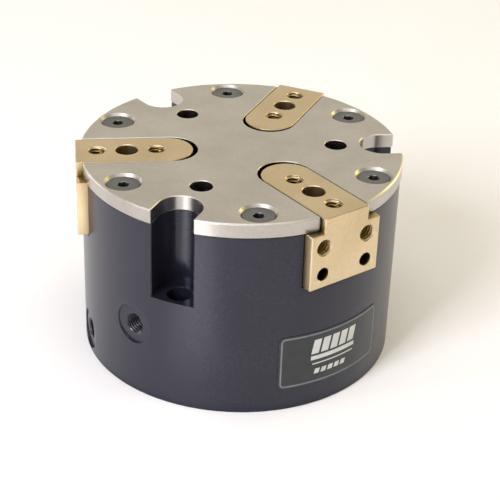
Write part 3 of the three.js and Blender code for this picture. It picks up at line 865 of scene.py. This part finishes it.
def rounded_rect(w, h, c, straight=24, arc=8):
    pts = []
    corners = [(w - c, h - c, 0), (-(w - c), h - c, 90), (-(w - c), -(h - c), 180), (w - c, -(h - c), 270)]
    for k, (cx, cy, a0) in enumerate(corners):
        for i in range(arc + 1):
            a = math.radians(a0 + 90 * i / arc)
            pts.append((cx + c * math.cos(a), cy + c * math.sin(a)))
        nx, ny, na = corners[(k + 1) % 4]
        a = math.radians(na)
        ex, ey = nx + c * math.cos(a), ny + c * math.sin(a)
        sx, sy = pts[-1]
        for i in range(1, straight):
            f = i / straight
            pts.append((sx + (ex - sx) * f, sy + (ey - sy) * f))
    return pts


def strip(s0, s1, t0, t1, n=24, slant=0.0):
    s = np.linspace(s0, s1, n)
    return ("patch", ([(a - slant, t0) for a in s], [(a + slant, t1) for a in s]))


LABEL_MID = (LABEL_Z0 + LABEL_Z1) / 2
label_w = BODY_R * math.asin(LABEL_HALF / BODY_R)
label_h = (LABEL_Z1 - LABEL_Z0) / 2


def make_label():
    """The foil: a rounded rectangle bent round the housing."""
    c, n = 2.0, 72
    low, high = [], []
    for i in range(n + 1):
        u = -math.cos(math.pi * i / n)
        s = label_w * u
        d = max(0.0, abs(s) - (label_w - c))
        t = label_h - c + math.sqrt(max(0.0, c * c - d * d)) if d else label_h
        t = max(t, label_h - c + 0.02)
        low.append((s, -t))
        high.append((s, t))
    return wrapped("label", [("patch", (low, high))], BODY_R + 0.04, BODY_R + 0.17, LABEL_MID)


finished(make_label(), "name_foil", "housing", ["nameplate"], foil)

line = [("ring", (rounded_rect(label_w - 0.7, label_h - 0.55, 1.7), rounded_rect(label_w - 1.26, label_h - 1.11, 1.14)))]
finished(wrapped("line", line, BODY_R + 0.12, BODY_R + 0.215, LABEL_MID), "label_border", "housing", [], pale_line)
# plain printed pattern: leaning blocks over a bar, a thin rule and a row of dashes
art = []
for k in range(5):
    x0 = -9.3 + 3.85 * k
    lean = 0.55
    art.append(("patch", ([(x0 - lean, 1.75), (x0 + 2.9 - lean, 1.75)], [(x0 + lean, 7.3), (x0 + 2.9 + lean, 7.3)])))
art.append(strip(-9.9, 9.0, -0.75, 0.85))
art.append(strip(-9.2, 8.4, -2.65, -2.2))
for k in range(5):
    x0 = -8.2 + 2.8 * k
    art.append(strip(x0, x0 + 1.9, -6.6, -4.7, 6, 0.25))
finished(wrapped("art", art, BODY_R + 0.12, BODY_R + 0.245, LABEL_MID), "label_print", "housing", [], ink)

# ------------------------------------------------------------ floor and light
FLOOR = -0.00002


def surface_material(name, colour, rough):
    s = Nodes(name)
    d = s.noise(s.obj, 6, 3, 0.5)
    c = s.ramp(d, [(0.3, tuple(v * 0.985 for v in colour)), (0.7, colour)])
    s.link(c, s.p.inputs["Base Color"])
    s.p.inputs["Roughness"].default_value = rough
    s.p.inputs["Specular IOR Level"].default_value = 0.25
    return s.mat


def make_floor():
    """A wide round sheet of paper."""
    n = 96
    verts = [(0, 0, FLOOR)]
    faces = []
    radii = [0.2, 0.6, 1.4, 3.0]
    for r in radii:
        verts += [(r * math.cos(2 * math.pi * i / n), r * math.sin(2 * math.pi * i / n), FLOOR) for i in range(n)]
    for i in range(n):
        j = (i + 1) % n
        faces.append((0, 1 + i, 1 + j))
        for k in range(len(radii) - 1):
            faces.append((1 + k * n + i, 1 + (k + 1) * n + i, 1 + (k + 1) * n + j, 1 + k * n + j))
    me = bpy.data.meshes.new("floor")
    me.from_pydata(verts, [], faces)
    ob = bpy.data.objects.new("studio_floor", me)
    COLL.objects.link(ob)
    me.materials.append(surface_material("pale_paper", (0.928, 0.910, 0.908), 0.7))
    return ob


VIEW_AZ = -37.18  # the camera stands at this azimuth
make_floor()


def area(name, loc, target, size, power, colour=(1, 1, 1)):
    d = bpy.data.lights.new(name, "AREA")
    d.shape = "RECTANGLE"
    d.size, d.size_y = size
    d.energy = power
    d.color = colour
    o = bpy.data.objects.new(name, d)
    COLL.objects.link(o)
    R = Matrix.Rotation(math.radians(VIEW_AZ), 4, "Z")
    p, t = R @ Vector(loc), R @ Vector(target)
    o.location = p
    o.rotation_euler = (t - p).to_track_quat("-Z", "Y").to_euler()
    return o


area("front_left", (-0.95, -1.15, 1.0), (0, 0, 0.03), (0.6, 0.8), 24.6, (0.965, 0.985, 1.115))
area("low_left", (-0.70, -1.16, 0.22), (0, 0, 0.03), (0.14, 0.36), 2.6, (0.97, 0.96, 1.0))
area("side_slit", (-1.22, -0.46, 0.40), (0, 0, 0.05), (0.07, 0.60), 2.7, (0.92, 0.94, 1.0))
area("overhead", (0.1, -0.35, 1.5), (0, 0, 0.0), (1.3, 1.0), 7, (1.0, 0.99, 1.0))
area("back", (0.0, 1.35, 0.80), (0, 0, 0.07), (1.8, 0.7), 1.45, (0.98, 0.98, 1.02))
area("left_strip", (-1.24, 0.50, 0.20), (0, 0, 0.04), (0.6, 0.34), 3.3, (0.97, 0.98, 1.06))
area("right_strip", (1.0, 0.62, 0.26), (0, 0, 0.04), (0.5, 0.7), 4.0, (1.0, 0.84, 0.34))

# a narrow beam on the paper in front; the housing mirrors it as a soft upright sheen
beam = area("beam", (-0.657, -1.186, 0.485), (-0.070, -0.152, 0.0), (0.03, 0.03), 3.0, (1.0, 0.96, 1.0))
beam.data.type = "SPOT"
beam.data.energy = 250
beam.data.spot_size = math.radians(3.4)
beam.data.spot_blend = 0.8
beam.data.shadow_soft_size = 0.01

world = bpy.data.worlds.new("studio")
SCENE.world = world
world.use_nodes = True
wt = world.node_tree
bg = wt.nodes["Background"]
bg.inputs["Strength"].default_value = 1.0
tc = wt.nodes.new("ShaderNodeTexCoord")
sep = wt.nodes.new("ShaderNodeSeparateXYZ")
wt.links.new(tc.outputs["Generated"], sep.inputs[0])
sky = wt.nodes.new("ShaderNodeValToRGB")
els = sky.color_ramp.elements
stops = [(0.0, (0.80, 0.79, 0.775)), (0.50, (0.78, 0.74, 0.65)), (0.62, (0.60, 0.54, 0.385)), (0.80, (0.47, 0.42, 0.31)), (1.0, (0.42, 0.40, 0.35))]
while len(els) < len(stops):
    els.new(0.5)
for e, (pos, c) in zip(els, stops):
    e.position = pos
    e.color = (*c, 1)
up = wt.nodes.new("ShaderNodeMapRange")
up.inputs["From Min"].default_value = -1
wt.links.new(sep.outputs["Z"], up.inputs["Value"])
wt.links.new(up.outputs["Result"], sky.inputs["Fac"])
wt.links.new(sky.outputs["Color"], bg.inputs["Color"])
SCENE.view_settings.view_transform = "Standard"
SCENE.view_settings.look = "None"

# -------------------------------------------------------------------- camera
E, DIST, FOCAL = 0.4465085, 8.7960898, 1413.95262
YAW, PITCH, ROLL = -0.01064393, -0.06252787, -0.03163345


def make_camera():
    ce, se = math.cos(E), math.sin(E)
    C = Vector((0, -ce, se)) * DIST
    fw = -C.normalized()
    right = Vector((1, 0, 0))
    up = right.cross(fw)
    base = Matrix((right, up, fw))
    Rx = Matrix(((1, 0, 0), (0, math.cos(PITCH), -math.sin(PITCH)), (0, math.sin(PITCH), math.cos(PITCH))))
    Ry = Matrix(((math.cos(YAW), 0, math.sin(YAW)), (0, 1, 0), (-math.sin(YAW), 0, math.cos(YAW))))
    Rz = Matrix(((math.cos(ROLL), -math.sin(ROLL), 0), (math.sin(ROLL), math.cos(ROLL), 0), (0, 0, 1)))
    rows = Rz @ Rx @ Ry @ base
    right, up, fw = (Vector(rows[i]) for i in range(3))
    # the picture's centre lies 4 px left of and 14 px below the axis found by the fit
    fw2 = (fw - right * (4.0 / FOCAL) - up * (14.0 / FOCAL)).normalized()
    right2 = (right - fw2 * right.dot(fw2)).normalized()
    up2 = right2.cross(fw2)
    turn = Matrix.Rotation(math.radians(VIEW_AZ), 4, "Z")
    m = Matrix((
        (right2.x, up2.x, -fw2.x, C.x * PLATE_R * 0.001),
        (right2.y, up2.y, -fw2.y, C.y * PLATE_R * 0.001),
        (right2.z, up2.z, -fw2.z, C.z * PLATE_R * 0.001),
        (0, 0, 0, 1),
    ))
    m = Matrix.Translation((0, 0, TOP * 0.001)) @ turn @ m
    d = bpy.data.cameras.new("camera")
    d.sensor_width = 36
    d.lens = FOCAL / 500 * 36
    d.clip_start, d.clip_end = 0.01, 50
    o = bpy.data.objects.new("camera", d)
    COLL.objects.link(o)
    o.matrix_world = m
    SCENE.camera = o
    return o


make_camera()
